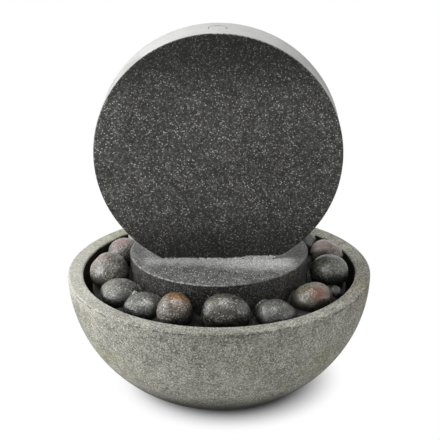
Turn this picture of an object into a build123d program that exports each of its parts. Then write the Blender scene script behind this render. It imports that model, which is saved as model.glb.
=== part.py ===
from build123d import *
import os
from math import asin, degrees, radians, sqrt

# Indoor fountain. A round cast disc stands upright on a dished plinth, in a bowl of cast stone.
# A bed of pebbles runs round the plinth, and a small submersible pump stands below it.
# Millimetres, +Z up, the front towards -Y. The origin is on the surface that the fountain
# stands on, below the centre of the bowl.

# Bowl
rim_radius = 150.0
rim_width = 15.0
rim_round = 1.5
bowl_height = 123.0
base_radius = 67.5
floor_thickness = 15.0
base_round = 6.0
floor_round = 6.0

# Rubber feet, set into the underside of the bowl
foot_radius = 8.0
foot_height = 3.0
foot_recess = 1.0
foot_circle_radius = 46.0
foot_count = 4

# Cord hole and its grommet, at the back of the bowl
cord_hole_drop = 20.0
cord_hole_radius = 8.0
cord_bore_radius = 4.0
grommet_flange_radius = 11.0
grommet_flange = 2.0
spot_face_margin = 0.5

# Disc
disc_radius = 118.8
disc_thickness = 44.9
disc_edge_round = 1.6
disc_sink = 13.8

# Plinth that carries the disc and the pebble tray
plinth_rise = 19.4
plinth_rim_share = 0.5867
plinth_wall = 7.0
plinth_edge_round = 0.9
plinth_top_thickness = 7.0
dish_depth = 1.0
dish_margin = 5.0
cradle_wall = 6.0
ledge_width = 8.5
ledge_thickness = 5.0
skirt_inset = 4.0
skirt_wall = 6.0
skirt_foot_gap = 3.5
skirt_pump_gap = 1.5
arch_width = 34.0
arch_height = 40.0
arch_count = 6

# Pebble tray and the bed of pebbles
bed_drop = 15.0
tray_thickness = 12.0
tray_edge_round = 3.0
tray_skirt_chamfer = 6.0
bowl_gap = 4.0
tray_overhang = 3.5
pebble_height = 34.0
drain_slot_width = 3.4
drain_slot_length = 15.0

# Water riser and supply hose
riser_radius = 4.9
riser_bore_radius = 3.6
riser_tail = 20.0
hose_wall = 1.5
hose_end_gap = 3.0
hose_passage_margin = 1.3
outlet_cap_radius = 8.5
outlet_cap_thickness = 1.8
outlet_well_depth = 3.4
outlet_slot = 0.6
outlet_cap_wall = 1.5
outlet_port_width = 3.0

# Pump
pump_width = 36.0
pump_height = 34.0
pump_wall = 2.2
pump_corner_round = 4.0
cup_height = 6.0
cup_radius = 8.0
cup_stem_radius = 2.5
cup_stem_depth = 1.6
cup_neck_height = 2.4
chamber_radius = 13.0
chamber_front = 8.0
chamber_depth = 12.0
outlet_offset = 9.0
spigot_height = 14.0
well_radius = 7.5
well_depth = 17.0
well_wall = 1.3
motor_length = 34.0
end_plate_thickness = 3.0
core_height = 11.0
core_half_width = 13.8
core_bridge = 4.0
coil_build = 4.0
coil_half_length = 8.0
bobbin_wall = 0.8
shaft_radius = 1.25
bush_radius = 2.8
bush_length = 3.0
magnet_radius = 6.6
magnet_chamfer = 0.4
impeller_radius = 11.2
impeller_hub_radius = 4.2
blade_thickness = 1.5
blade_height = 7.0
blade_count = 6
volute_plate = 2.4
inlet_radius = 7.0
spoke_width = 1.8
spoke_count = 3
cover_length = 15.0
cover_wall = 1.8
cover_lip = 3.0
grille_slot = 2.4
grille_web = 2.2
slider_width = 9.0
slider_height = 8.0
slider_thickness = 1.4
slider_travel = 6.0
slider_neck = 3.0
slider_grip = 2.6
gland_length = 10.0
gland_radius = 5.0
gland_tip_radius = 3.8
gland_flange_radius = 6.6
gland_flange = 1.5
gland_bore_radius = 2.6

# Clearances: between bodies that part, between pieces that stay together, and for turning
lift_clearance = 0.3
seat_clearance = 0.1
running_clearance = 0.05
pebble_clearance = 0.6
overrun = 1.0

# Heights
base_z = foot_height - foot_recess
floor_z = base_z + floor_thickness
rim_z = base_z + bowl_height
plinth_top_z = rim_z + plinth_rise
bed_z = rim_z - bed_drop
ledge_z = bed_z - tray_thickness
disc_z = plinth_top_z - disc_sink + disc_radius
disc_bottom_z = disc_z - disc_radius
disc_top_z = disc_z + disc_radius

# The side of the bowl is an arc of an ellipse, from the rim down to the edge of its base.
outer_depth = bowl_height / sqrt(1 - (base_radius / rim_radius) ** 2)
inner_depth = outer_depth - floor_thickness
inner_rim_radius = rim_radius - rim_width


def outer_radius_at(z):
    """Outside radius of the bowl at a height."""
    return rim_radius * sqrt(1 - ((rim_z - z) / outer_depth) ** 2)


def inner_radius_at(z):
    """Inside radius of the bowl at a height."""
    return inner_rim_radius * sqrt(1 - ((rim_z - z) / inner_depth) ** 2)


# Places that follow from the sizes above
plinth_radius = plinth_rim_share * rim_radius
inner_floor_radius = inner_radius_at(floor_z)
skirt_foot_radius = inner_floor_radius - skirt_foot_gap
skirt_top_radius = plinth_radius - skirt_inset
skirt_top_z = ledge_z - ledge_thickness
bed_inner_radius = plinth_radius + pebble_clearance
bed_outer_radius = inner_radius_at(bed_z) - bowl_gap
bed_width = bed_outer_radius - bed_inner_radius
tray_outer_radius = bed_outer_radius - tray_overhang
cradle_z = disc_bottom_z - lift_clearance - cradle_wall
hose_bore_radius = riser_radius + lift_clearance
spigot_radius = hose_bore_radius - seat_clearance
hose_radius = hose_bore_radius + hose_wall
hose_top_z = cradle_z - hose_end_gap
riser_bottom_z = disc_bottom_z - riser_tail
pump_x = -outlet_offset
pump_z = floor_z + cup_height + pump_height / 2
pump_top_z = pump_z + pump_height / 2
pump_bottom_z = pump_z - pump_height / 2
chamber_back = chamber_depth - chamber_front
well_back = chamber_back + well_depth
cavity_front = chamber_back + bobbin_wall + pump_wall
cavity_back = cavity_front + motor_length
pump_back = cavity_back + end_plate_thickness
well_outer_radius = well_radius + well_wall
core_bore_radius = well_outer_radius + lift_clearance

# The pebbles, anticlockwise from the right as seen from above: bearing in degrees, the angle that
# the stone spans, its place across the bed, its width, the height of its centre over the tray and
# its own height, as shares of the bed's width and of the pebble height, and its slant in degrees.
pebble_shares = [
    (17.0, 19.2, 0.60, 0.77, 0.44, 0.88, 0),
    (41.5, 21.2, 0.47, 0.89, 0.40, 0.80, 6),
    (65.7, 21.6, 0.49, 0.87, 0.35, 0.88, -8),
    (90.0, 21.3, 0.46, 0.91, 0.47, 0.97, 0),
    (114.0, 21.0, 0.49, 0.85, 0.32, 0.82, 8),
    (138.0, 18.7, 0.45, 0.82, 0.47, 1.00, 0),
    (157.6, 17.6, 0.43, 0.80, 0.40, 0.86, 0),
    (173.5, 9.6, 0.37, 0.48, 0.24, 0.50, 0),
    (188.8, 20.6, 0.49, 0.92, 0.51, 1.09, 8),
    (209.6, 19.7, 0.50, 0.95, 0.31, 0.80, -14),
    (229.6, 20.0, 0.48, 0.90, 0.29, 0.76, -18),
    (248.4, 17.0, 0.47, 0.92, 0.41, 1.00, 0),
    (274.0, 24.6, 0.43, 0.86, 0.44, 1.06, 0),
    (300.0, 21.7, 0.47, 0.91, 0.22, 0.80, 0),
    (326.5, 22.4, 0.49, 0.89, 0.26, 0.85, 0),
    (342.2, 7.6, 0.71, 0.39, 0.09, 0.47, 0),
    (356.0, 18.1, 0.50, 0.92, 0.44, 0.96, 0),
]
# Where a pebble is widest, from its blunt end
blunt_share = 0.45


def block(x_from, x_to, y_from, y_to, z_from, z_to):
    """A box between two corners."""
    size = (x_to - x_from, y_to - y_from, z_to - z_from)
    centre = Pos((x_from + x_to) / 2, (y_from + y_to) / 2, (z_from + z_to) / 2)
    return centre * Box(*size)


def rod_z(radius, z_from, z_to, x=0, y=0):
    """An upright cylinder."""
    return Pos(x, y, (z_from + z_to) / 2) * Cylinder(radius, z_to - z_from)


def rod_y(radius, y_from, y_to, x=0, z=0):
    """A cylinder that runs from front to back."""
    return Pos(x, (y_from + y_to) / 2, z) * Rot(90, 0, 0) * Cylinder(radius, y_to - y_from)


def pump_rod(radius, y_from, y_to):
    """A cylinder on the pump's own axis."""
    return rod_y(radius, y_from, y_to, pump_x, pump_z)


def turned(points):
    """The solid of revolution about Z of an outline of (radius, height) points."""
    return revolve(Plane.XZ * make_face(Polyline(*points, close=True)), Axis.Z)


def ring_places(count, radius, start=0):
    """Places on a level circle, each turned to face outwards."""
    return [Rot(0, 0, start + 360 * i / count) * Pos(radius, 0, 0) for i in range(count)]


# Bowl and what is fixed to it


def cord_hole_z():
    return rim_z - cord_hole_drop


def spot_face_planes():
    """How far back the flat seats of the grommet lie, inside and outside the wall."""
    reach = grommet_flange_radius + spot_face_margin
    low = outer_radius_at(cord_hole_z() - reach)
    inside = inner_radius_at(cord_hole_z() + reach) + spot_face_margin
    outside = sqrt(low ** 2 - reach ** 2) - spot_face_margin
    return inside, outside


def foot_places():
    return ring_places(foot_count, foot_circle_radius, start=45)


def make_bowl():
    base_angle = degrees(asin(bowl_height / outer_depth))
    floor_angle = degrees(asin((rim_z - floor_z) / inner_depth))
    rim = (0, rim_z)
    outline = [
        Line((0, floor_z), (0, base_z)),
        Line((0, base_z), (base_radius, base_z)),
        EllipticalCenterArc(rim, rim_radius, outer_depth, -base_angle, arc_size=base_angle),
        Line((rim_radius, rim_z), (inner_rim_radius, rim_z)),
        EllipticalCenterArc(rim, inner_rim_radius, inner_depth, -floor_angle, arc_size=floor_angle),
        Line((inner_floor_radius, floor_z), (0, floor_z)),
    ]
    bowl = revolve(Plane.XZ * make_face(outline), Axis.Z)
    circles = bowl.edges().filter_by(GeomType.CIRCLE).group_by(Axis.Z)
    bowl = fillet(circles[-1], rim_round)
    bowl = fillet(bowl.edges().filter_by(GeomType.CIRCLE).group_by(Axis.Z)[0], base_round)
    floor_edges = [e for e in bowl.edges().filter_by(GeomType.CIRCLE)
                   if abs(e.arc_center.Z - floor_z) < seat_clearance]
    bowl = fillet(floor_edges, floor_round)

    inside, outside = spot_face_planes()
    reach = grommet_flange_radius + spot_face_margin
    z = cord_hole_z()
    bowl -= rod_y(cord_hole_radius, inside - rim_width, rim_radius, z=z)
    bowl -= rod_y(reach, outside, rim_radius + overrun, z=z)
    bowl -= rod_y(reach, inside - rim_width, inside, z=z)
    for place in foot_places():
        bowl -= place * rod_z(foot_radius + seat_clearance, base_z - overrun, base_z + foot_recess)
    return bowl


def make_foot_pads():
    pad = rod_z(foot_radius, 0, foot_height)
    pad = chamfer(pad.edges().group_by(Axis.Z)[0], foot_recess / 2)
    return [place * pad for place in foot_places()]


def make_cord_grommet():
    inside, outside = spot_face_planes()
    z = cord_hole_z()
    grommet = rod_y(cord_hole_radius - seat_clearance, inside - grommet_flange, outside + grommet_flange, z=z)
    grommet += rod_y(grommet_flange_radius, inside - grommet_flange, inside, z=z)
    grommet += rod_y(grommet_flange_radius, outside, outside + grommet_flange, z=z)
    ends = grommet.edges().filter_by(GeomType.CIRCLE).group_by(Axis.Y)
    grommet = fillet(ends[0] + ends[-1], grommet_flange / 2)
    return grommet - rod_y(cord_bore_radius, inside - rim_width, rim_radius, z=z)


# Plinth, pebble tray and pebbles


def disc_shape(margin=0.0):
    """The disc's outer form, or the pocket that takes it, grown by a margin."""
    half = disc_thickness / 2 + margin
    return rod_y(disc_radius + margin, -half, half, z=disc_z)


def pump_bay():
    """The room that the pump and its cups need inside the skirt."""
    half_x = pump_width / 2 + skirt_pump_gap
    half_z = pump_height / 2 + skirt_pump_gap
    front = -chamber_front - cover_length - skirt_pump_gap
    bay = pump_block(half_x, half_z, front, pump_back + skirt_pump_gap, pump_corner_round)
    for place in cup_places():
        bay += place * rod_z(cup_radius + skirt_pump_gap, floor_z - overrun, pump_z)
    return bay


def make_plinth():
    dish_radius = plinth_radius - dish_margin
    dish_z = plinth_top_z - dish_depth
    ceiling_z = dish_z - plinth_top_thickness
    drum_bore = plinth_radius - plinth_wall
    ledge_radius = plinth_radius + ledge_width
    half_way = dish_radius / 2
    outline = [
        ThreePointArc((0, dish_z), (half_way, dish_z + dish_depth / 4), (dish_radius, plinth_top_z)),
        Polyline(
            (dish_radius, plinth_top_z),
            (plinth_radius, plinth_top_z),
            (plinth_radius, ledge_z),
            (ledge_radius, ledge_z),
            (ledge_radius, skirt_top_z),
            (skirt_top_radius, skirt_top_z),
            (skirt_foot_radius, floor_z),
            (skirt_foot_radius - skirt_wall, floor_z),
            (skirt_top_radius - skirt_wall, skirt_top_z),
            (drum_bore, ledge_z),
            (drum_bore, ceiling_z),
            (0, ceiling_z),
            (0, dish_z),
        ),
    ]
    plinth = revolve(Plane.XZ * make_face(outline), Axis.Z)
    top_edge = plinth.edges().filter_by(GeomType.CIRCLE).group_by(Axis.Z)[-1].sort_by(SortBy.RADIUS)[-1]
    plinth = fillet(top_edge, plinth_edge_round)

    # The boss below the top plate carries the pocket that holds the disc.
    pocket_half = sqrt((disc_radius + lift_clearance) ** 2 - (disc_z - plinth_top_z) ** 2)
    half_x = pocket_half + cradle_wall
    half_y = disc_thickness / 2 + lift_clearance + cradle_wall
    boss = block(-half_x, half_x, -half_y, half_y, cradle_z, ceiling_z + plinth_top_thickness / 2)
    boss = fillet(boss.edges().filter_by(Axis.Z), cradle_wall)
    plinth += boss
    plinth -= disc_shape(lift_clearance)
    plinth -= rod_z(riser_radius + hose_passage_margin, cradle_z - overrun, disc_z)

    # Arches in the skirt let the water through, and the one at the back lets the cord out.
    spring_z = floor_z + arch_height - arch_width / 2
    arch = block(0, plinth_radius, -arch_width / 2, arch_width / 2, floor_z - overrun, spring_z)
    crown = Pos(plinth_radius / 2, 0, spring_z) * Rot(0, 90, 0) * Cylinder(arch_width / 2, plinth_radius)
    arch += crown
    for place in ring_places(arch_count, 0, start=90):
        plinth -= place * arch
    return plinth - pump_bay()


def pebble_radius(across_share):
    return bed_inner_radius + across_share * bed_width


def make_pebble(shares, margin=0.0):
    """A stone: an egg, blunt at one end, drawn out to its own length, width and height."""
    bearing, span, across, width, rise, height, slant = shares
    radius = pebble_radius(across)
    blunt_side = [
        EllipticalCenterArc((0, 0), blunt_share, 1 / 2, 90, arc_size=90),
        EllipticalCenterArc((0, 0), 1 - blunt_share, 1 / 2, 0, arc_size=90),
        Line((-blunt_share, 0), (1 - blunt_share, 0)),
    ]
    egg = revolve(Plane.XZ * make_face(blunt_side), Axis.X)
    size = (
        radians(span) * radius + 2 * margin,
        width * bed_width + 2 * margin,
        height * pebble_height + 2 * margin,
    )
    stone = Pos((blunt_share - 1 / 2) * size[0], 0, 0) * scale(egg, by=size)
    place = Rot(0, 0, bearing) * Pos(radius, 0, bed_z + rise * pebble_height) * Rot(0, 0, 90 + slant)
    return place * stone


def drain_bearings():
    """Half way between each pebble and the next."""
    bearings = [shares[0] for shares in pebble_shares]
    following = bearings[1:] + [bearings[0] + 360]
    return [(a + b) / 2 for a, b in zip(bearings, following)]


def make_pebble_tray():
    inner = plinth_radius + seat_clearance
    tray = turned([
        (inner, bed_z),
        (tray_outer_radius, bed_z),
        (tray_outer_radius, ledge_z + tray_skirt_chamfer),
        (tray_outer_radius - tray_skirt_chamfer, ledge_z),
        (inner, ledge_z),
    ])
    rim = tray.edges().filter_by(GeomType.CIRCLE).group_by(Axis.Z)[-1].sort_by(SortBy.RADIUS)[-1]
    tray = fillet(rim, tray_edge_round)
    for shares in pebble_shares:
        tray -= make_pebble(shares, seat_clearance)
    slot = extrude(SlotOverall(drain_slot_length, drain_slot_width), tray_thickness + 2 * overrun)
    for bearing in drain_bearings():
        middle = (bed_inner_radius + tray_outer_radius) / 2
        tray -= Rot(0, 0, bearing) * Pos(middle, 0, ledge_z - overrun) * slot
    return tray


# Disc and its water way


def make_moon_disc():
    disc = disc_shape()
    disc = fillet(disc.edges().filter_by(GeomType.CIRCLE), disc_edge_round)
    disc -= rod_z(riser_radius + seat_clearance, disc_bottom_z - overrun, disc_top_z)
    well_z = disc_top_z - outlet_well_depth
    disc -= rod_z(outlet_cap_radius + outlet_slot, well_z, disc_top_z + overrun)
    return disc


def make_riser_tube():
    top = disc_top_z - outlet_well_depth
    tube = rod_z(riser_radius, riser_bottom_z, top)
    tube = chamfer(tube.edges().group_by(Axis.Z)[0], (riser_radius - riser_bore_radius) / 2)
    return tube - rod_z(riser_bore_radius, riser_bottom_z - overrun, top + overrun)


def make_outlet_cap():
    """A flush cap over the riser: the water wells up through its ports and the slot around it."""
    well_z = disc_top_z - outlet_well_depth
    top = disc_top_z - seat_clearance
    stem = riser_bore_radius - seat_clearance
    cap = rod_z(outlet_cap_radius, top - outlet_cap_thickness, top)
    cap = fillet(cap.edges().group_by(Axis.Z)[-1], outlet_cap_thickness / 3)
    cap += rod_z(stem, well_z - outlet_cap_radius, top - outlet_cap_thickness)
    bore = stem - outlet_cap_wall
    cap -= rod_z(bore, well_z - outlet_cap_radius - overrun, top - outlet_cap_thickness)
    port = block(-riser_radius, riser_radius, -outlet_port_width / 2, outlet_port_width / 2,
                 well_z, top - outlet_cap_thickness)
    return cap - port - Rot(0, 0, 90) * port


def make_supply_hose():
    bottom = pump_top_z + overrun
    hose = rod_z(hose_radius, bottom, hose_top_z)
    return hose - rod_z(hose_bore_radius, bottom - overrun, hose_top_z + overrun)


# Pump: the motor behind, the impeller chamber under the outlet, the strainer in front


def pump_block(half_x, half_z, y_from, y_to, corner):
    """A box on the pump's axis with its four long edges rounded."""
    box = block(pump_x - half_x, pump_x + half_x, y_from, y_to, pump_z - half_z, pump_z + half_z)
    return fillet(box.edges().filter_by(Axis.Y), corner)


def make_pump_housing():
    half_x = pump_width / 2
    half_z = pump_height / 2
    housing = pump_block(half_x, half_z, -chamber_front, pump_back, pump_corner_round)
    lip_x = half_x - cover_wall - lift_clearance
    lip_z = half_z - cover_wall - lift_clearance
    lip_round = pump_corner_round - cover_wall
    housing += pump_block(lip_x, lip_z, -chamber_front - cover_lip, -chamber_front, lip_round)
    housing += rod_z(spigot_radius, pump_z, pump_top_z + spigot_height)

    # The motor's pocket is open at the back, with the rotor's well standing in it.
    pocket = pump_block(half_x - pump_wall, half_z - pump_wall, cavity_front, pump_back + overrun,
                        pump_corner_round - pump_wall)
    pocket -= pump_rod(well_outer_radius, cavity_front - overrun, well_back + well_wall)
    housing -= pocket
    housing -= pump_rod(chamber_radius, -chamber_front - cover_lip - overrun, chamber_back)
    housing -= pump_rod(well_radius, 0, well_back)
    housing -= rod_z(riser_bore_radius, pump_z, pump_top_z + spigot_height + overrun)
    for place in cup_places():
        housing -= place * rod_z(cup_stem_radius, pump_bottom_z - overrun, pump_bottom_z + cup_stem_depth)
    return housing


def make_stator_core():
    """A stack of plates round the rotor's well, closed behind by the bridge that the coil is on."""
    half_z = core_height / 2
    front = cavity_front + seat_clearance
    back = cavity_back - coil_build - seat_clearance
    core = block(pump_x - core_half_width, pump_x + core_half_width, front, back,
                 pump_z - half_z, pump_z + half_z)
    core -= pump_rod(core_bore_radius, front - overrun, well_back + well_wall)
    core -= block(pump_x - core_bore_radius, pump_x + core_bore_radius, well_back, back - core_bridge,
                  pump_z - half_z - overrun, pump_z + half_z + overrun)
    return core


def coil_block(half_x, grow):
    """A block round the core's bridge, grown by a size on its four long sides."""
    half_z = core_height / 2 + grow
    back = cavity_back - coil_build - seat_clearance
    return block(pump_x - half_x, pump_x + half_x, back - core_bridge - grow, back + grow,
                 pump_z - half_z, pump_z + half_z)


def make_coil_bobbin():
    spool = coil_block(coil_half_length, seat_clearance + bobbin_wall)
    for side in (-1, 1):
        flange = coil_block(bobbin_wall / 2, coil_build - seat_clearance)
        spool += Pos(side * (coil_half_length - bobbin_wall / 2), 0, 0) * flange
    return spool - coil_block(coil_half_length + overrun, seat_clearance)


def make_coil_winding():
    half = coil_half_length - bobbin_wall - seat_clearance
    outer = coil_block(half, coil_build - bobbin_wall)
    outer = fillet(outer.edges().filter_by(Axis.X), bobbin_wall)
    return outer - coil_block(half + overrun, 2 * seat_clearance + bobbin_wall)


def make_motor_end_plate():
    margin = pump_wall + seat_clearance
    plate = pump_block(pump_width / 2 - margin, pump_height / 2 - margin, cavity_back, pump_back,
                       pump_corner_round - pump_wall)
    return plate - pump_rod(gland_tip_radius + seat_clearance, cavity_back - overrun, pump_back + overrun)


def make_cord_gland():
    """A tapered sleeve through the end plate, with a flange against the plate."""
    tip = pump_back + gland_length
    outline = [
        (gland_bore_radius, cavity_back),
        (gland_tip_radius, cavity_back),
        (gland_tip_radius, pump_back),
        (gland_flange_radius, pump_back),
        (gland_flange_radius, pump_back + gland_flange),
        (gland_radius, pump_back + gland_flange),
        (gland_tip_radius, tip),
        (gland_bore_radius, tip),
    ]
    return Pos(pump_x, 0, pump_z) * Rot(-90, 0, 0) * turned(outline)


def cup_places():
    """The four suction cups, in from the corners of the pump's underside."""
    inset = cup_radius - pump_wall
    half_x = pump_width / 2 - inset
    front = -chamber_front + inset
    back = pump_back - inset
    return [Pos(pump_x + side * half_x, y, 0) for side in (-1, 1) for y in (front, back)]


def make_suction_cups():
    top = pump_bottom_z + cup_stem_depth
    neck = cup_stem_radius - seat_clearance
    lip_z = pump_bottom_z - cup_neck_height
    thickness = cup_stem_radius / 2
    outline = [
        (0, top),
        (neck, top),
        (neck, lip_z),
        (cup_radius, floor_z + thickness / 2),
        (cup_radius, floor_z),
        (cup_radius - thickness, floor_z),
        (neck, lip_z - thickness),
        (0, lip_z - thickness),
    ]
    return [place * turned(outline) for place in cup_places()]


def make_rotor_shaft():
    front = -chamber_front - bush_length
    return pump_rod(shaft_radius, front + seat_clearance, well_back - seat_clearance)


def make_rear_bush():
    bush = pump_rod(well_radius - seat_clearance, well_back - bush_length / 2, well_back)
    return bush - pump_rod(shaft_radius, 0, well_back - seat_clearance)


def make_front_bush():
    front = -chamber_front - bush_length
    bush = pump_rod(bush_radius, front, -chamber_front + volute_plate)
    return bush - pump_rod(shaft_radius, front + seat_clearance, 0)


def make_volute_cover():
    """The plate that closes the impeller chamber: an inlet ring, with spokes to the bush."""
    front = -chamber_front
    back = front + volute_plate
    cover = pump_rod(chamber_radius - seat_clearance, front, back)
    cover -= pump_rod(inlet_radius, front - overrun, back + overrun)
    hub_radius = bush_radius + spoke_width / 2
    cover += pump_rod(hub_radius, front - bush_length, back)
    spoke = block(0, inlet_radius + overrun, front, back, -spoke_width / 2, spoke_width / 2)
    spoke -= rod_y(bush_radius, front - overrun, back + overrun)
    for i in range(spoke_count):
        cover += Pos(pump_x, 0, pump_z) * Rot(0, 360 * i / spoke_count, 0) * spoke
    return cover - pump_rod(bush_radius, front - bush_length - overrun, back + overrun)


def make_magnet_rotor():
    front = chamber_back + running_clearance
    back = well_back - bush_length / 2 - lift_clearance
    magnet = pump_rod(magnet_radius, front, back)
    magnet = chamfer(magnet.edges().filter_by(GeomType.CIRCLE), magnet_chamfer)
    return magnet - pump_rod(shaft_radius + running_clearance, front - overrun, back + overrun)


def make_impeller():
    """A hub on the end of the magnet with straight blades, which pump whichever way it turns."""
    back = chamber_back + running_clearance
    hub_front = -chamber_front + volute_plate + lift_clearance
    impeller = pump_rod(impeller_hub_radius, hub_front, back)
    blade_back = back - lift_clearance
    blade = block(0, impeller_radius, blade_back - blade_height, blade_back,
                  -blade_thickness / 2, blade_thickness / 2)
    for i in range(blade_count):
        impeller += Pos(pump_x, 0, pump_z) * Rot(0, 360 * i / blade_count, 0) * blade
    return impeller - pump_rod(shaft_radius + running_clearance, hub_front - overrun, back + overrun)


def make_intake_cover():
    """The strainer: a cap on the front of the pump, with a grille and the slot of the slider."""
    half_x = pump_width / 2
    half_z = pump_height / 2
    back = -chamber_front
    front = back - cover_length
    cover = pump_block(half_x, half_z, front, back, pump_corner_round)
    cover -= pump_block(half_x - cover_wall, half_z - cover_wall, front + cover_wall, back + overrun,
                        pump_corner_round - cover_wall)
    pitch = grille_slot + grille_web
    slot_depth = cover_length - cover_lip - cover_wall - 2 * grille_web
    slot_y = front + cover_wall + grille_web
    rows = int((pump_height - 2 * pump_corner_round) / pitch)
    for row in range(rows):
        z = pump_z + (row - (rows - 1) / 2) * pitch
        cover -= block(pump_x - half_x - overrun, pump_x + half_x + overrun, slot_y, slot_y + slot_depth,
                       z - grille_slot / 2, z + grille_slot / 2)
        for side in (-1, 1):
            inner = side * (slider_width / 2 + grille_web)
            outer = side * (half_x - pump_corner_round)
            cover -= block(pump_x + min(inner, outer), pump_x + max(inner, outer), front - overrun,
                           front + cover_wall + overrun, z - grille_slot / 2, z + grille_slot / 2)
    neck = slider_neck / 2 + lift_clearance
    low = slider_rest_z() - slider_neck / 2 - lift_clearance
    high = slider_rest_z() + slider_travel + slider_neck / 2 + lift_clearance
    cover -= block(pump_x - neck, pump_x + neck, front - overrun, front + cover_wall + overrun, low, high)
    return cover


def slider_rest_z():
    return pump_z - slider_travel / 2


def make_flow_slider():
    """The slider that sets the flow: a plate behind the front wall, a neck and a grip."""
    front = -chamber_front - cover_length
    z = slider_rest_z()
    half_x = slider_width / 2
    half_z = slider_height / 2
    plate_y = front + cover_wall + lift_clearance
    slider = block(pump_x - half_x, pump_x + half_x, plate_y, plate_y + slider_thickness,
                   z - half_z, z + half_z)
    neck = slider_neck / 2
    slider += block(pump_x - neck, pump_x + neck, front - lift_clearance, plate_y, z - neck, z + neck)
    grip_back = front - lift_clearance
    grip = block(pump_x - half_x, pump_x + half_x, grip_back - slider_grip, grip_back, z - neck, z + neck)
    grip = fillet(grip.edges().filter_by(Axis.X).group_by(Axis.Y)[0], neck / 2)
    return slider + grip


# Write each node


def nodes():
    parts = {
        "bowl": make_bowl(),
        "foot_pads": make_foot_pads(),
        "cord_grommet": make_cord_grommet(),
        "plinth": make_plinth(),
        "pebble_tray": make_pebble_tray(),
        "moon_disc": make_moon_disc(),
        "riser_tube": make_riser_tube(),
        "outlet_cap": make_outlet_cap(),
        "supply_hose": make_supply_hose(),
        "pump_housing": make_pump_housing(),
        "stator_core": make_stator_core(),
        "coil_bobbin": make_coil_bobbin(),
        "coil_winding": make_coil_winding(),
        "motor_end_plate": make_motor_end_plate(),
        "cord_gland": make_cord_gland(),
        "suction_cups": make_suction_cups(),
        "rotor_shaft": make_rotor_shaft(),
        "rear_bush": make_rear_bush(),
        "front_bush": make_front_bush(),
        "volute_cover": make_volute_cover(),
        "magnet_rotor": make_magnet_rotor(),
        "impeller": make_impeller(),
        "intake_cover": make_intake_cover(),
        "flow_slider": make_flow_slider(),
    }
    for number, shares in enumerate(pebble_shares, start=1):
        parts[f"pebble_{number:02d}"] = make_pebble(shares)
    return parts


os.makedirs("parts", exist_ok=True)
for name, shape in nodes().items():
    if isinstance(shape, list):
        shape = Compound(children=[Part() + one for one in shape])
    export_step(shape, f"parts/{name}.step")
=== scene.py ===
"""Dresses the indoor fountain: cast stone, wet pebbles and the pump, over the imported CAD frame."""

import math
import random

import bmesh
import bpy
import numpy as np
from mathutils import Matrix, Vector, noise


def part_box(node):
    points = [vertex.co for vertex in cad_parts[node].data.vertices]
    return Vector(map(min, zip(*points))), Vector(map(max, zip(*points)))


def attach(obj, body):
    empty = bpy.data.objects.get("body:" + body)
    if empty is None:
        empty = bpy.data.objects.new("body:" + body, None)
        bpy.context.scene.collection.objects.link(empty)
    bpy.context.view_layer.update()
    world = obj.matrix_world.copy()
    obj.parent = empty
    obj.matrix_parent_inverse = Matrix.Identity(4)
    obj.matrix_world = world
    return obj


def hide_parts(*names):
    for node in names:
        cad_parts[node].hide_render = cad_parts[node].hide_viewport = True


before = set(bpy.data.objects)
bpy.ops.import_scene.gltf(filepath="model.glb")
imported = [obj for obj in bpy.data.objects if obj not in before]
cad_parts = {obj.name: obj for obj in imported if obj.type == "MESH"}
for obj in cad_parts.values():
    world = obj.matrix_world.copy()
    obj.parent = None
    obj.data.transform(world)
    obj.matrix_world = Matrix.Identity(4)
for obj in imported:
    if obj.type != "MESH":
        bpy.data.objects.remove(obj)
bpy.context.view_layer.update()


# Places on the object, in metres, from the frame wherever a CAD piece ends there

bowl_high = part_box("bowl")[1]
rim_radius = bowl_high.x
rim_z = bowl_high.z
# Painted shade at the bowl's foot: it darkens from the first height down to near black at the second
painted_shade_top_z = 0.048
painted_shade_bottom_z = 0.016

# Half way through the bowl's wall lies half an ellipsoid of this radius and depth
wall_middle_radius = rim_radius - 0.0075
wall_middle_depth = 0.1302

tray_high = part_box("pebble_tray")[1]
bed_z = tray_high.z
tray_radius = tray_high.x
plinth_radius = 0.088
plinth_top_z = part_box("plinth")[1].z

disc_low, disc_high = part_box("moon_disc")
disc_half = disc_high.y
disc_middle_z = (disc_low.z + disc_high.z) / 2
disc_top_z = disc_high.z


# Node materials


def tone(red, green, blue):
    """A colour given as 0 to 255 on the screen, in the linear values that a shader takes."""
    channels = []
    for value in (red, green, blue):
        share = value / 255
        channels.append(share / 12.92 if share <= 0.04045 else ((share + 0.055) / 1.055) ** 2.4)
    return (*channels, 1.0)


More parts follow.
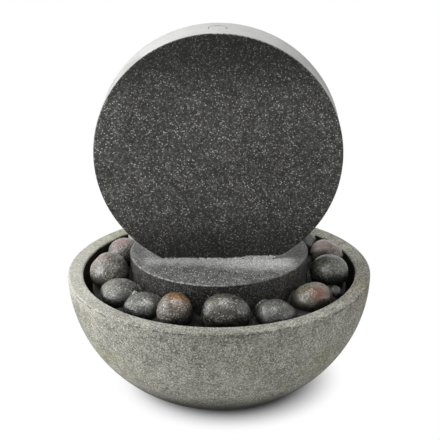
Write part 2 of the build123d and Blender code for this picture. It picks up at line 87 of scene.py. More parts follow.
class Surface:
    """A node material, with a short call for each kind of node used here. Sizes are in metres."""

    def __init__(self, name):
        self.material = bpy.data.materials.new(name)
        self.material.use_nodes = True
        self.nodes = self.material.node_tree.nodes
        self.links = self.material.node_tree.links
        self.shader = self.nodes["Principled BSDF"]
        self.place = self.nodes.new("ShaderNodeTexCoord").outputs["Object"]

    def put(self, socket, value):
        if isinstance(value, bpy.types.NodeSocket):
            self.links.new(value, socket)
        else:
            socket.default_value = value

    def node(self, kind, inputs, **settings):
        made = self.nodes.new("ShaderNode" + kind)
        for key, value in settings.items():
            setattr(made, key, value)
        for key, value in inputs.items():
            self.put(made.inputs[key], value)
        return made

    def maths(self, operation, first, second=0.0, third=0.0):
        inputs = {0: first, 1: second, 2: third}
        return self.node("Math", inputs, operation=operation).outputs[0]

    def product(self, first, *others):
        for other in others:
            first = self.maths("MULTIPLY", first, other)
        return first

    def gap(self, first, second):
        """How far two values are apart."""
        return self.maths("ABSOLUTE", self.maths("SUBTRACT", first, second))

    def axis(self, name):
        return self.node("SeparateXYZ", {0: self.place}).outputs[name]

    def from_axis(self):
        """How far a point is from the fountain's upright axis."""
        x, y = self.axis("X"), self.axis("Y")
        return self.maths("SQRT", self.maths("ADD", self.product(x, x), self.product(y, y)))

    def from_point(self, point):
        return self.node("VectorMath", {0: self.place, 1: point}, operation="DISTANCE").outputs["Value"]

    def between(self, value, low, high, start=0.0, end=1.0):
        """A smooth step from start to end, as value goes from low to high."""
        inputs = {"Value": value, "From Min": low, "From Max": high, "To Min": start, "To Max": end}
        return self.node("MapRange", inputs, interpolation_type="SMOOTHSTEP").outputs["Result"]

    def shifted(self, offset):
        return self.node("VectorMath", {0: self.place, 1: offset}, operation="ADD").outputs[0]

    def clouds(self, size, detail=3.0, roughness=0.55, place=None):
        inputs = {"Vector": place or self.place, "Scale": 1 / size, "Detail": detail, "Roughness": roughness}
        return self.node("TexNoise", inputs).outputs["Fac"]

    def ragged(self, value, amount, *cloud):
        """A value raised by up to the amount, unevenly, by clouds."""
        return self.maths("MULTIPLY_ADD", self.clouds(*cloud), amount, value)

    def grains(self, size, share, offset=(0, 0, 0), radius=0.5):
        """Round grains in cells of a size: up to 1 in a few cells, less in the others of the share."""
        inputs = {"Vector": self.shifted(offset), "Scale": 1 / size}
        cells = self.node("TexVoronoi", inputs)
        chance = self.node("SeparateColor", {0: cells.outputs["Color"]}).outputs[0]
        strength = self.between(chance, 1 - share, 1.0)
        inside = self.between(cells.outputs["Distance"], radius, radius * 0.45)
        return self.product(strength, inside)

    def mix(self, factor, first, second, blend="MIX"):
        made = self.node("Mix", {0: factor, 6: first, 7: second}, data_type="RGBA", blend_type=blend)
        return made.outputs[2]

    def bump(self, height, depth):
        return self.node("Bump", {"Height": height, "Distance": depth, "Strength": 1.0}).outputs["Normal"]

    def finish(self, specular=None, **inputs):
        if specular is not None:
            self.shader.inputs["Specular IOR Level"].default_value = specular
        for key, value in inputs.items():
            self.put(self.shader.inputs[key.replace("_", " ")], value)
        return self.material


def cast_stone(name, low, high, pale, dark, grain=0.0014, pale_share=0.75, dark_share=0.70,
               large_share=0.25, uneven=0.8, roughness=0.85, relief=0.00022):
    """Cast stone: clouded in tone, with round pale and dark grains of all strengths in an uneven matrix."""
    s = Surface(name)
    matrix = s.mix(s.between(s.clouds(0.055, 4), 0.38, 0.62), low, high)
    matrix = s.mix(s.between(s.clouds(0.011, 4, 0.65), 0.38, 0.62, 0.0, 0.40), matrix, dark)
    fine = s.clouds(grain * 1.8, 4, 0.85)
    matrix = s.mix(s.between(fine, 0.56, 0.36, 0.0, uneven), matrix, dark)
    matrix = s.mix(s.between(fine, 0.50, 0.70, 0.0, uneven * 0.75), matrix, pale)
    thick = s.between(s.clouds(0.014, 2), 0.35, 0.65, 0.5, 1.0)
    dark_grains = s.grains(grain * 1.15, dark_share, (0.71, 0.22, 0.13), 0.62)
    pale_grains = s.grains(grain, pale_share, (0.31, 0.17, 0.23), 0.55)
    large_grains = s.grains(grain * 1.6, large_share, (0.13, 0.41, 0.37), 0.40)
    colour = s.mix(s.product(dark_grains, 0.80), matrix, dark)
    colour = s.mix(s.product(pale_grains, thick), colour, pale)
    colour = s.mix(s.product(large_grains, 0.80), colour, pale)
    height = s.ragged(s.maths("SUBTRACT", fine, dark_grains), 1.5, 0.012, 3)
    s.colour = colour
    s.relief = s.bump(height, relief)
    s.finish(Base_Color=colour, Roughness=roughness, Normal=s.relief, specular=0.2)
    return s


def inside_bowl(s):
    """1 on the bowl's inner wall, 0 on its rim and its outside, parted half way through the wall."""
    across = s.maths("DIVIDE", s.from_axis(), wall_middle_radius)
    down = s.maths("DIVIDE", s.maths("SUBTRACT", rim_z, s.axis("Z")), wall_middle_depth)
    inner = s.maths("LESS_THAN", s.maths("ADD", s.product(across, across), s.product(down, down)), 1.0)
    below_rim = s.between(s.ragged(s.axis("Z"), 0.004, 0.02, 3), rim_z + 0.0012, rim_z - 0.0004)
    return s.product(inner, below_rim)


def chipped_edge(s):
    """Small dark chips along the edges of the rim."""
    from_edge = s.gap(s.ragged(s.axis("Z"), 0.003, 0.008, 3), rim_z - 0.0007)
    line = s.between(from_edge, 0.0009, 0.0003)
    chips = s.between(s.clouds(0.007, 3, 0.7, s.shifted((0.2, 0.8, 0.4))), 0.47, 0.60, 0.0, 0.75)
    return s.product(line, chips)


def bowl_stone():
    """Grey cast stone in mossy and mauve patches, with painted light on the rim's top on the left, painted
    shade at its foot, and darker inside, partly wet and partly painted shade."""
    s = cast_stone("bowl_stone", tone(134, 134, 125), tone(154, 153, 143), tone(208, 208, 198),
                   tone(74, 74, 68), grain=0.0012, uneven=0.7)
    z = s.axis("Z")
    moss = s.between(s.clouds(0.075, 2, 0.5, s.shifted((0.52, 0.11, 0.07))), 0.50, 0.68, 0.0, 0.50)
    mauve = s.between(s.clouds(0.09, 2, 0.5, s.shifted((0.9, 0.35, 0.61))), 0.52, 0.70, 0.0, 0.40)
    colour = s.mix(moss, s.colour, tone(222, 226, 188), "MULTIPLY")
    colour = s.mix(mauve, colour, tone(238, 216, 210), "MULTIPLY")
    # Painted light: the rim's top paler on the left, where the left lamp falls on it
    left = s.between(s.axis("X"), -0.06, -0.14, 0.0, 0.25)
    pale_top = s.product(left, s.between(z, rim_z - 0.015, rim_z - 0.001))
    colour = s.mix(pale_top, colour, tone(214, 214, 204))
    colour = s.mix(chipped_edge(s), colour, tone(56, 56, 50))
    # Painted shade: the bowl darkens to near black towards its foot
    colour = s.mix(s.between(z, painted_shade_top_z, painted_shade_bottom_z, 0.0, 0.97), colour, tone(14, 14, 12))
    # Inside the bowl: much darker and glossier, partly wet stone and partly painted shade
    wet = inside_bowl(s)
    rough = s.maths("MULTIPLY_ADD", wet, -0.45, 0.85)
    return s.finish(Base_Color=s.mix(wet, colour, tone(78, 74, 64), "MULTIPLY"), Roughness=rough)


def splash_at_foot(s):
    """Water on the plinth's top along the foot of the disc: most where it runs off on the right."""
    x = s.axis("X")
    from_face = s.maths("SUBTRACT", s.maths("ABSOLUTE", s.axis("Y")), disc_half)
    width = s.between(x, -0.030, 0.040, 0.033, 0.047)
    band = s.maths("SUBTRACT", 1.0, s.maths("DIVIDE", s.ragged(from_face, 0.018, 0.010, 4, 0.7), width))
    ends = s.between(s.maths("ABSOLUTE", x), 0.080, 0.062)
    strength = s.between(x, -0.030, 0.045, 0.62, 1.0)
    return s.product(s.between(band, 0.0, 0.62), ends, strength)


def splashed(s):
    """Water that splashes: streaks from grey to nearly white, with round white painted glints."""
    # Painted glints: round white dots for light sparkling on the water
    painted_water_glints = s.grains(0.0016, 0.80, (0.3, 0.3, 0.8), 0.62)
    lively = s.between(s.clouds(0.0018, 3, 0.8, s.shifted((0.4, 0.2, 0.9))), 0.34, 0.66)
    calm = s.mix(lively, tone(120, 120, 118), tone(226, 226, 224))
    return s.mix(painted_water_glints, calm, tone(250, 250, 248))


def washed_edge(s):
    """The disc's edge, pale under its film of water; paler at the top, mineral scale and painted sheen;
    painted shade on the right.
    """
    washed = s.mix(s.between(s.clouds(0.02, 4), 0.35, 0.65), tone(146, 146, 145), tone(164, 164, 162))
    washed = s.mix(s.grains(0.0022, 0.4, (0.7, 0.2, 0.4)), washed, tone(128, 128, 125))
    # Paler towards the top of the edge: partly mineral scale and partly painted sheen
    scale_and_sheen_at_top = s.between(s.axis("Z"), disc_top_z - 0.0332, disc_top_z - 0.0062, 0.0, 0.6)
    washed = s.mix(scale_and_sheen_at_top, washed, tone(178, 178, 177))
    # Painted shade: the edge darker towards the right
    return s.mix(s.between(s.axis("X"), 0.045, 0.105, 0.0, 0.25), washed, tone(98, 98, 96))


def disc_stone():
    """Dark cast stone, darker towards its top and foot (painted shade at the foot), a washed edge, a
    splashed foot.
    """
    s = cast_stone("disc_stone", tone(62, 62, 60), tone(72, 72, 70), tone(204, 204, 198), tone(22, 22, 21),
                   grain=0.0013, pale_share=0.37, dark_share=0.45, large_share=0.07, uneven=0.36,
                   roughness=0.60, relief=0.0002)
    x, z = s.axis("X"), s.axis("Z")
    on_edge = s.between(s.maths("ABSOLUTE", s.axis("Y")), disc_half - 0.0002, disc_half - 0.0016)
    film = s.product(on_edge, s.between(z, plinth_top_z - 0.0044, disc_top_z - 0.0382, 0.25, 1.0))
    # Darker towards the top and the foot of the face: at the foot this is painted shade
    darker_top_and_foot = s.between(s.gap(z, disc_middle_z), 0.042, 0.105, 0.0, 0.98)
    colour = s.mix(darker_top_and_foot, s.colour, tone(150, 150, 148), "MULTIPLY")
    climbed = s.between(x, 0.005, 0.035, plinth_top_z + 0.0002, plinth_top_z + 0.0028)
    above = s.ragged(s.maths("SUBTRACT", z, climbed), 0.004, 0.006, 3, 0.7)
    out_of_pocket = s.between(z, plinth_top_z - 0.0044, plinth_top_z - 0.0019)
    foot = s.product(s.between(above, 0.0030, 0.0014), s.between(x, -0.066, -0.058, 0.0, 0.9), out_of_pocket)
    return s.finish(Base_Color=s.mix(foot, s.mix(film, colour, washed_edge(s)), splashed(s)))


def wet_stone():
    """The plinth's dark stone, paler on its dished top, whose edge has a broken painted highlight on the
    left.
    """
    s = cast_stone("wet_stone", tone(48, 47, 46), tone(60, 59, 57), tone(136, 136, 131), tone(14, 14, 13),
                   grain=0.0013, pale_share=0.5, large_share=0.12, uneven=0.6, roughness=0.45, relief=0.0003)
    z = s.axis("Z")
    away = s.from_axis()
    inner = s.between(away, plinth_radius - 0.0004, plinth_radius - 0.0012)
    top = s.product(s.between(z, plinth_top_z - 0.0039, plinth_top_z - 0.0019), inner)
    # Painted highlight: a broken pale line along the top edge, on the left
    edge = s.product(s.between(away, plinth_radius - 0.0021, plinth_radius - 0.0012),
                     s.between(z, plinth_top_z - 0.0014, plinth_top_z - 0.0005))
    broken = s.between(s.clouds(0.0030, 3, 0.7, s.shifted((0.6, 0.1, 0.2))), 0.38, 0.60, 0.08, 1.0)
    edge = s.product(edge, broken, s.between(s.axis("X"), 0.050, -0.020, 0.0, 0.50))
    pale_top = s.mix(s.between(s.clouds(0.012, 4, 0.6), 0.36, 0.64), tone(76, 76, 74), tone(102, 102, 100))
    pale_top = s.mix(s.grains(0.0016, 0.50, (0.1, 0.2, 0.9), 0.62), pale_top, tone(34, 34, 33))
    pale_top = s.mix(s.grains(0.0014, 0.60, (0.5, 0.2, 0.6)), pale_top, tone(222, 222, 219))
    colour = s.mix(s.product(top, 0.85), s.colour, pale_top)
    colour = s.mix(edge, colour, tone(178, 178, 174))
    splash = s.product(splash_at_foot(s), top, 0.9)
    return s.finish(Base_Color=s.mix(splash, colour, splashed(s)), Coat_Weight=0.12, Coat_Roughness=0.3,
                    Coat_Normal=s.relief)


def tray_stone():
    """The tray's stone, nearly black between the pebbles: painted shade."""
    return cast_stone("tray_stone", tone(24, 23, 21), tone(32, 31, 28), tone(70, 69, 64), tone(10, 10, 9),
                      uneven=0.4).material


def river_stone(name, look, stain_at, stain_reach, painted_glint_at, painted_glint_reach, seed):
    """A wet river stone: two tones, a stain and a painted glint round a point each, grains, a foot darkened
    by wet and painted shade.
    """
    s = Surface(name)
    offset = (0.11 * seed, 0.07 * seed, 0.05 * seed)
    spot = s.shifted(offset)
    colour = s.mix(s.between(s.clouds(0.016, 4, 0.6, spot), 0.35, 0.65), tone(*look.low), tone(*look.high))
    away = s.ragged(s.from_point(stain_at), stain_reach, 0.012, 3, 0.5, spot)
    stained = s.between(away, 1.6 * stain_reach, 0.7 * stain_reach)
    colour = s.mix(stained, colour, tone(*look.stain))
    # Painted glint: a pale patch with stronger pale grains, standing in for a highlight
    away = s.ragged(s.from_point(painted_glint_at), painted_glint_reach, 0.004, 3, 0.7, spot)
    painted_glint = s.between(away, 1.7 * painted_glint_reach, 0.6 * painted_glint_reach)
    colour = s.mix(s.product(painted_glint, 0.45), colour, tone(190, 189, 184))
    fine = s.clouds(0.0026, 4, 0.85, spot)
    colour = s.mix(s.between(fine, 0.58, 0.38, 0.0, 0.65 * look.speckle), colour, tone(16, 16, 14))
    colour = s.mix(s.between(fine, 0.50, 0.70, 0.0, 0.30 * look.speckle), colour, tone(176, 174, 164))
    dark_grains = s.grains(0.0017, 0.55, offset, 0.62)
    pale_grains = s.grains(0.0014, 0.50, (0.3 + offset[0], 0.2, 0.1), 0.56)
    colour = s.mix(s.product(dark_grains, 0.65 * look.speckle), colour, tone(14, 14, 12))
    plain_here = s.maths("MULTIPLY_ADD", stained, -0.45 * look.speckle, 0.70 * look.speckle)
    grain_and_glint_strength = s.maths("MULTIPLY_ADD", painted_glint, 0.45, plain_here)
    colour = s.mix(s.product(pale_grains, grain_and_glint_strength), colour, tone(206, 205, 197))
    # Darker towards the foot, near black: partly wet stone and partly painted shade
    shaded_foot_height = s.ragged(s.axis("Z"), 0.006, 0.008, 3, 0.6, spot)
    colour = s.mix(s.between(shaded_foot_height, bed_z + 0.0255, bed_z + 0.0105, 0.0, 0.86), colour, tone(12, 12, 10))
    relief = s.bump(s.ragged(s.maths("SUBTRACT", fine, dark_grains), 2.0, 0.007, 3, 0.5, spot), 0.0003)
    rough = s.between(s.clouds(0.006, 3, 0.6, spot), 0.3, 0.7, 0.36, 0.56)
    return s.finish(Base_Color=colour, Roughness=rough, Normal=relief, Coat_Weight=0.6, Coat_Roughness=0.16,
                    Coat_Normal=relief, specular=0.3)


def mortar_stone():
    """Dark where it lies low, partly wet and partly painted shade; pale where drawn up to a thin web, a
    painted highlight.
    """
    s = Surface("mortar_stone")
    low = s.mix(s.between(s.clouds(0.01, 4), 0.35, 0.65), tone(14, 13, 11), tone(28, 27, 24))
    # Painted highlight: the webs pale, most near the plinth
    pale = s.mix(s.grains(0.0018, 0.8, radius=0.62), tone(92, 90, 84), tone(196, 195, 188))
    height = s.between(s.ragged(s.axis("Z"), 0.006, 0.006, 3), bed_z + 0.009, bed_z + 0.018)
    near_plinth = s.between(s.from_axis(), plinth_radius + 0.030, plinth_radius + 0.017, 0.25, 1.0)
    colour = s.mix(s.product(height, near_plinth), low, pale)
    relief = s.bump(s.ragged(s.clouds(0.0012, 2), 2.0, 0.006, 3), 0.0004)
    return s.finish(Base_Color=colour, Roughness=0.5, Normal=relief, specular=0.3)


def plain(name, colour, roughness, grain=0.0012, depth=0.00004):
    """Moulded plastic, rubber or ceramic: a fine texture and a little unevenness of tone and gloss."""
    s = Surface(name)
    darker = tuple(0.92 * channel for channel in colour[:3]) + (1.0,)
    shade = s.mix(s.between(s.clouds(0.01, 3), 0.35, 0.7), colour, darker)
    rough = s.between(s.clouds(0.004, 3), 0.3, 0.7, roughness - 0.06, roughness + 0.08)
    return s.finish(Base_Color=shade, Roughness=rough, Normal=s.bump(s.clouds(grain, 2), depth))


def wound_copper():
    """Enamelled wire, seen as fine turns side by side."""
    s = Surface("wound_copper")
    waves = {"Vector": s.place, "Scale": 330.0, "Distortion": 0.4, "Detail": 1.0}
    turns = s.node("TexWave", waves, wave_type="BANDS", bands_direction="X").outputs["Fac"]
    colour = s.mix(turns, tone(122, 52, 24), tone(214, 122, 66))
    return s.finish(Base_Color=colour, Roughness=0.35, Metallic=0.9, Normal=s.bump(turns, 0.0001))


def stacked_steel():
    """The edges of stacked plates."""
    s = Surface("stacked_steel")
    waves = {"Vector": s.place, "Scale": 320.0, "Distortion": 0.1}
    plates = s.node("TexWave", waves, wave_type="BANDS", bands_direction="Z").outputs["Fac"]
    colour = s.mix(plates, tone(92, 92, 94), tone(162, 162, 164))
    return s.finish(Base_Color=colour, Roughness=0.4, Metallic=0.85, Normal=s.bump(plates, 0.00008))


disc_cast = disc_stone()
black_rubber = plain("black_rubber", tone(38, 38, 38), 0.75, 0.0009, 0.00005)
black_plastic = plain("black_plastic", tone(44, 45, 47), 0.48, 0.0008, 0.00005)
white_plastic = plain("white_plastic", tone(222, 221, 214), 0.42)
cloudy_vinyl = plain("cloudy_vinyl", tone(186, 190, 188), 0.35, 0.002, 0.00006)

node_materials = {
    "bowl": bowl_stone(),
    "plinth": wet_stone(),
    "pebble_tray": tray_stone(),
    "moon_disc": disc_cast,
    "outlet_cap": disc_cast,
    "foot_pads": black_rubber,
    "cord_grommet": black_rubber,
    "suction_cups": black_rubber,
    "rear_bush": black_rubber,
    "front_bush": black_rubber,
    "cord_gland": black_rubber,
    "supply_hose": cloudy_vinyl,
    "riser_tube": cloudy_vinyl,
    "pump_housing": black_plastic,
    "motor_end_plate": black_plastic,
    "volute_cover": black_plastic,
    "intake_cover": black_plastic,
    "impeller": white_plastic,
    "coil_bobbin": white_plastic,
    "flow_slider": plain("blue_plastic", tone(52, 92, 150), 0.42),
    "magnet_rotor": plain("ground_ferrite", tone(58, 58, 60), 0.5, 0.0006, 0.00003),
    "rotor_shaft": plain("ground_ceramic", tone(236, 235, 228), 0.22),
    "coil_winding": wound_copper(),
    "stator_core": stacked_steel(),
}
for node, material in node_materials.items():
    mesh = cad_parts[node].data
    mesh.materials.clear()
    mesh.materials.append(material)


# Pebbles: each takes the room of its CAD solid and is worn into a form of its own


class Look:
    """A pebble's two tones and the tone of its stain, the way from its middle to the stain, the depth of its
    wear as a share of its size, the strength of its grains and the way from its middle to its painted glint."""

    def __init__(self, low, high, stain, stain_way, wear, speckle, painted_glint_way):
        self.low = low
        self.high = high
        self.stain = stain
        self.stain_way = Vector(stain_way)
        self.wear = wear
        self.speckle = speckle
        self.painted_glint_way = Vector(painted_glint_way)


pebble_looks = [
    Look((70, 61, 54), (88, 77, 68), (118, 96, 86), (-0.2, -0.3, 0.9), 0.05, 0.5, (-0.6, -0.6, 0.5)),
    Look((20, 20, 18), (32, 32, 30), (40, 40, 38), (0.0, 0.0, 1.0), 0.07, 0.25, (0.0, 0.0, -1.0)),
    Look((34, 34, 31), (50, 50, 46), (60, 58, 54), (0.2, 0.0, 1.0), 0.06, 0.6, (0.0, 0.0, -1.0)),
    Look((88, 84, 78), (110, 106, 98), (140, 120, 110), (0.0, 0.3, 0.9), 0.07, 1.0, (0.0, 0.6, 0.7)),
    Look((50, 50, 46), (72, 72, 66), (88, 88, 82), (0.0, 0.0, 1.0), 0.06, 1.0, (0.3, 0.6, 0.6)),
    Look((112, 108, 100), (136, 132, 124), (150, 140, 132), (0.0, 0.0, 1.0), 0.05, 0.7, (0.3, 0.0, 0.9)),
    Look((68, 62, 56), (92, 84, 78), (132, 107, 100), (-0.2, -0.1, 1.0), 0.04, 0.8, (-0.2, 0.6, 0.8)),
    Look((40, 39, 36), (56, 54, 50), (66, 62, 56), (0.0, 0.0, 1.0), 0.05, 0.8, (-0.6, 0.0, 0.7)),
    Look((80, 80, 70), (108, 106, 95), (148, 124, 117), (-0.4, 0.1, 0.9), 0.04, 1.0, (-0.40, -0.85, 0.32)),
    Look((68, 69, 64), (96, 96, 90), (110, 110, 103), (-0.4, 0.0, 0.9), 0.04, 1.0, (-0.19, -0.92, 0.30)),
    Look((54, 55, 51), (80, 80, 75), (100, 100, 94), (0.0, -0.3, 0.9), 0.04, 1.0, (0.32, -0.54, 0.77)),
    Look((68, 61, 55), (96, 85, 77), (134, 86, 28), (0.28, -0.16, 0.94), 0.03, 1.0, (0.29, -0.48, 0.80)),
    Look((22, 22, 15), (36, 35, 24), (66, 65, 52), (-0.4, -0.3, 0.9), 0.03, 1.1, (0.02, -0.52, 0.85)),
    Look((54, 55, 50), (80, 81, 74), (96, 96, 88), (-0.4, -0.3, 0.8), 0.04, 1.0, (-0.64, -0.48, 0.63)),
    Look((90, 86, 68), (116, 110, 88), (102, 50, 14), (0.34, -0.56, 0.72), 0.04, 0.8, (-0.56, -0.70, 0.50)),
    Look((78, 72, 62), (98, 92, 80), (112, 102, 88), (0.0, 0.0, 1.0), 0.05, 1.0, (-0.5, -0.5, 0.7)),
    Look((68, 70, 60), (90, 92, 80), (90, 90, 80), (-0.4, -0.4, 0.8), 0.04, 1.0, (-0.16, -0.90, 0.35)),
]
pebble_names = [f"pebble_{number:02d}" for number in range(1, len(pebble_looks) + 1)]
pebble_subdivisions = 5
facing_subdivisions = 4
flats_per_pebble = 4
stain_reach_share = 0.50
painted_glint_reach_share = 0.24


def points_of(mesh):
    points = np.empty(len(mesh.vertices) * 3, np.float32)
    mesh.vertices.foreach_get("co", points)
    return points.reshape(-1, 3)


def directions_of(subdivisions):
    """Directions spread evenly all round, and the mesh of the ball that has them as its points."""
    mesh = bpy.data.meshes.new("worn")
    shape = bmesh.new()
    bmesh.ops.create_icosphere(shape, subdivisions=subdivisions, radius=1)
    shape.to_mesh(mesh)
    shape.free()
    ways = points_of(mesh)
    return ways / np.linalg.norm(ways, axis=1)[:, None], mesh


def reach_of(solid, centre, facings, directions):
    """How far a rounded solid reaches from its middle each way, by the planes that touch it all round."""
    offsets = ((points_of(solid) - centre) @ facings.T).max(0)
    facing = directions @ facings.T
    return np.where(facing > 0.1, offsets / np.maximum(facing, 0.1), np.inf).min(1)


def soft_least(first, second, softness):
    """The lesser of two lengths, with the corner between them rounded off."""
    share = np.clip(0.5 + 0.5 * (second - first) / softness, 0, 1)
    return second * (1 - share) + first * share - softness * share * (1 - share)


def worn_reach(ways, directions, size, wear, number):
    """The reach of a pebble with a few flats ground into it and an uneven surface."""
    ways = ways * (1 + 0.6 * wear)
    draw = random.Random(number)
    for _ in range(flats_per_pebble):
        flat = np.array([draw.gauss(0, 1), draw.gauss(0, 1), draw.gauss(0, 0.7)])
        flat /= np.linalg.norm(flat)
        depth = ways[(directions @ flat).argmax()] * (1 - wear * draw.uniform(0.2, 1.8))
        ways = soft_least(ways, depth / np.maximum(directions @ flat, 0.05), 0.08 * size)
    seed = Vector((7.0 * number, 3.0 * number, 0.0))
    uneven = [noise.fractal(Vector(d) * 1.4 + seed, 0.7, 2.2, 3) for d in directions]
    return ways * (1 + wear * np.clip(np.array(uneven), -0.5, 0.4))


def make_pebble(name, look, number, facings):
    lowest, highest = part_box(name)
    centre = (lowest + highest) / 2
    half = (highest - lowest) / 2
    directions, mesh = directions_of(pebble_subdivisions)
    ways = reach_of(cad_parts[name].data, np.array(centre), facings, directions)
    ways = worn_reach(ways, directions, half.length, look.wear, number)
    points = np.array(centre) + directions * ways[:, None]
    mesh.vertices.foreach_set("co", points.ravel())
    mesh.shade_smooth()
    mesh.materials.append(river_stone(name + "_stone", look, centre + half * look.stain_way,
                                      stain_reach_share * half.length, centre + half * look.painted_glint_way,
                                      painted_glint_reach_share * half.length, number))
    pebble = bpy.data.objects.new(name + "_worn", mesh)
    bpy.context.scene.collection.objects.link(pebble)
    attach(pebble, "insert")
    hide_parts(name)


def make_pebbles():
    facings, spare = directions_of(facing_subdivisions)
    bpy.data.meshes.remove(spare)
    for number, (name, look) in enumerate(zip(pebble_names, pebble_looks), start=1):
        make_pebble(name, look, number, facings)


make_pebbles()


# Bed: the mortar that holds the pebbles, drawn up between them and against the plinth

bearings = 720
rings = 30
outline_ways = 48
mortar_inner = plinth_radius + 0.0001
mortar_outer = tray_radius - 0.0004
mortar_base_z = bed_z + 0.0002
pebble_bead_height = 0.004
wall_bead_height = 0.003
bead_reach = 0.002
pebble_web_height = 0.017
pebble_web_reach = 0.0050
wall_web_height = 0.011
wall_web_reach = 0.0045
web_fade = (0.012, 0.028)
web_loss = 0.8
grit_height = 0.0005


def pebble_gaps(plan):
    """How far each place in plan is outside each pebble's outline."""
    turns = np.linspace(0, 2 * math.pi, outline_ways, endpoint=False)
    ways = np.stack([np.cos(turns), np.sin(turns)], axis=1)
    reach = plan @ ways.T
    gaps = []
    for name in pebble_names:
        outline = (points_of(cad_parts[name].data)[:, :2] @ ways.T).max(0)
        gaps.append((reach - outline).max(1))
    return np.stack(gaps, axis=1)


def smooth_step(value, low, high):
    share = np.clip((value - low) / (high - low), 0, 1)
    return share * share * (3 - 2 * share)


def mortar_rise(plan, radius):
    """How high the mortar stands over its base: a bead along each pebble and the plinth's wall, and webs
    where two of them are near each other, which fade outwards."""
    gaps = np.clip(np.sort(pebble_gaps(plan), axis=1)[:, :2], 0, None)
    near, second = gaps[:, 0], gaps[:, 1]
    wall = radius - plinth_radius
    rise = pebble_bead_height * np.exp(-near / bead_reach) + wall_bead_height * np.exp(-wall / bead_reach)
    web = pebble_web_height * np.exp(-((near + second) / pebble_web_reach) ** 2)
    web += wall_web_height * np.exp(-((near + wall) / wall_web_reach) ** 2)
    rise += web * (1 - web_loss * smooth_step(wall, *web_fade))
    grit = [noise.fractal(Vector((x, y, 0)) * 120, 1.0, 2.0, 2) for x, y in plan]
    rise += grit_height * np.array(grit)
    rise *= 1 - smooth_step(radius, mortar_outer - 0.008, mortar_outer - 0.001)
    return np.clip(rise, 0, None)


def make_mortar():
    turn = np.linspace(0, 2 * math.pi, bearings, endpoint=False)
    radius = np.linspace(mortar_inner, mortar_outer, rings)
    turn, radius = np.meshgrid(turn, radius, indexing="ij")
    plan = np.stack([radius * np.cos(turn), radius * np.sin(turn)], axis=2).reshape(-1, 2)
    height = mortar_base_z + mortar_rise(plan, radius.ravel())
    points = [(x, y, z) for (x, y), z in zip(plan, height)]
    faces = []
    for i in range(bearings):
        j = (i + 1) % bearings
        for k in range(rings - 1):
            faces.append((i * rings + k, i * rings + k + 1, j * rings + k + 1, j * rings + k))
    mesh = bpy.data.meshes.new("pebble_mortar")
    mesh.from_pydata(points, [], faces)
    mesh.update()
    mesh.shade_smooth()
    mesh.materials.append(mortar_stone())
    mortar = bpy.data.objects.new("pebble_mortar", mesh)
    bpy.context.scene.collection.objects.link(mortar)
    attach(mortar, "insert")


make_mortar()


# Floor, light and camera

floor_reach = 8.0
foot_shape = (1.0, 1.22, 1.0)
foot_shade = (0.064, 0.098)
shadow_middle = (0.008, 0.012, 0.0)
fade_to_white = (0.073, 0.121)
sky_strength = 0.36


def floor_paper():
    """Pale paper with painted shade under the foot, that keeps the shadow near it and goes to plain white
    further out.
    """
    s = Surface("floor_paper")
    round_foot = s.node("VectorMath", {0: s.place, 1: foot_shape}, operation="MULTIPLY").outputs[0]
    from_foot = s.node("VectorMath", {0: round_foot}, operation="LENGTH").outputs["Value"]
    shaded = s.mix(s.between(from_foot, *foot_shade), tone(16, 16, 16), tone(238, 238, 238))
    s.finish(Base_Color=shaded, Roughness=0.9, specular=0.1)
    white = s.node("Emission", {"Color": (1, 1, 1, 1), "Strength": 1.0})
    clear = s.between(s.from_point(shadow_middle), *fade_to_white)
    path = s.node("LightPath", {}).outputs
    seen = s.maths("ADD", path["Is Glossy Ray"], path["Is Transmission Ray"])
    seen = s.maths("MINIMUM", s.maths("ADD", path["Is Camera Ray"], seen), 1.0)
    mixed = s.node("MixShader", {0: s.product(clear, seen), 1: s.shader.outputs[0], 2: white.outputs[0]})
    s.put(s.nodes["Material Output"].inputs["Surface"], mixed.outputs[0])
    return s.material


def make_floor():
    corners = [(-floor_reach, -floor_reach, 0), (floor_reach, -floor_reach, 0),
               (floor_reach, floor_reach, 0), (-floor_reach, floor_reach, 0)]
    mesh = bpy.data.meshes.new("floor")
    mesh.from_pydata(corners, [], [(0, 1, 2, 3)])
    mesh.materials.append(floor_paper())
    floor = bpy.data.objects.new("floor", mesh)
    bpy.context.scene.collection.objects.link(floor)


make_floor()


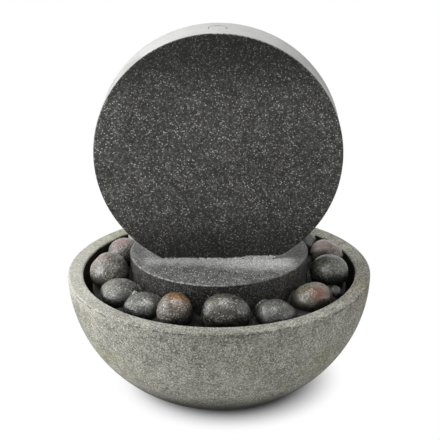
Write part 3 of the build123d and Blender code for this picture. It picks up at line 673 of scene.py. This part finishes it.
def make_world():
    """Soft white light all round, and plain white to the camera and in reflections."""
    world = bpy.data.worlds.new("studio")
    world.use_nodes = True
    nodes = world.node_tree.nodes
    links = world.node_tree.links
    soft = nodes["Background"]
    soft.inputs["Color"].default_value = (1, 1, 1, 1)
    soft.inputs["Strength"].default_value = sky_strength
    plain_white = nodes.new("ShaderNodeBackground")
    plain_white.inputs["Color"].default_value = (1, 1, 1, 1)
    plain_white.inputs["Strength"].default_value = 1.0
    path = nodes.new("ShaderNodeLightPath").outputs
    share = path["Is Camera Ray"]
    for kind in ("Is Glossy Ray", "Is Transmission Ray"):
        either = nodes.new("ShaderNodeMath")
        either.operation = "MAXIMUM"
        links.new(share, either.inputs[0])
        links.new(path[kind], either.inputs[1])
        share = either.outputs[0]
    mixed = nodes.new("ShaderNodeMixShader")
    links.new(share, mixed.inputs[0])
    links.new(soft.outputs[0], mixed.inputs[1])
    links.new(plain_white.outputs[0], mixed.inputs[2])
    links.new(mixed.outputs[0], nodes["World Output"].inputs["Surface"])
    bpy.context.scene.world = world


make_world()

light_aim = Vector((0.0, 0.0, 0.15))


def soft_box(name, place, size, power):
    light = bpy.data.lights.new(name, "AREA")
    light.shape = "SQUARE"
    light.size = size
    light.energy = power
    box = bpy.data.objects.new(name, light)
    box.location = place
    box.rotation_euler = (light_aim - Vector(place)).to_track_quat("-Z", "Y").to_euler()
    bpy.context.scene.collection.objects.link(box)


soft_box("box_left", place=(-0.66, -0.10, 0.48), size=0.8, power=9.0)
soft_box("box_top", place=(-0.05, 0.06, 1.45), size=0.36, power=8.2)
soft_box("box_right", place=(1.2, -0.2, 0.7), size=0.8, power=4.2)

# The camera that fits the photograph's ellipses: its distance, its angles, its focal length in pixels of
# the frame, and the height and the way to the side of the place that it aims at
camera_distance = 1.300
camera_elevation = math.radians(21.27)
camera_azimuth = math.radians(0.94)
camera_roll = math.radians(-0.325)
camera_focus = 1321.2
frame_pixels = 440
sensor_width = 36.0
aim_height = 0.17598
aim_side = 0.0011


def make_camera():
    camera = bpy.data.cameras.new("camera")
    camera.sensor_width = sensor_width
    camera.lens = camera_focus / frame_pixels * sensor_width
    sine, cosine = math.sin(camera_azimuth), math.cos(camera_azimuth)
    level = math.cos(camera_elevation)
    ahead = Vector((-sine * level, cosine * level, -math.sin(camera_elevation)))
    right = Vector((cosine, sine, 0))
    up = right.cross(ahead)
    rolled_right = right * math.cos(camera_roll) + up * math.sin(camera_roll)
    rolled_up = up * math.cos(camera_roll) - right * math.sin(camera_roll)
    place = Vector((0, 0, aim_height)) + right * aim_side - ahead * camera_distance
    turn = Matrix((rolled_right, rolled_up, -ahead)).transposed().to_4x4()
    seen = bpy.data.objects.new("camera", camera)
    seen.matrix_world = Matrix.Translation(place) @ turn
    bpy.context.scene.collection.objects.link(seen)
    bpy.context.scene.camera = seen


make_camera()
bpy.context.scene.view_settings.view_transform = "Standard"
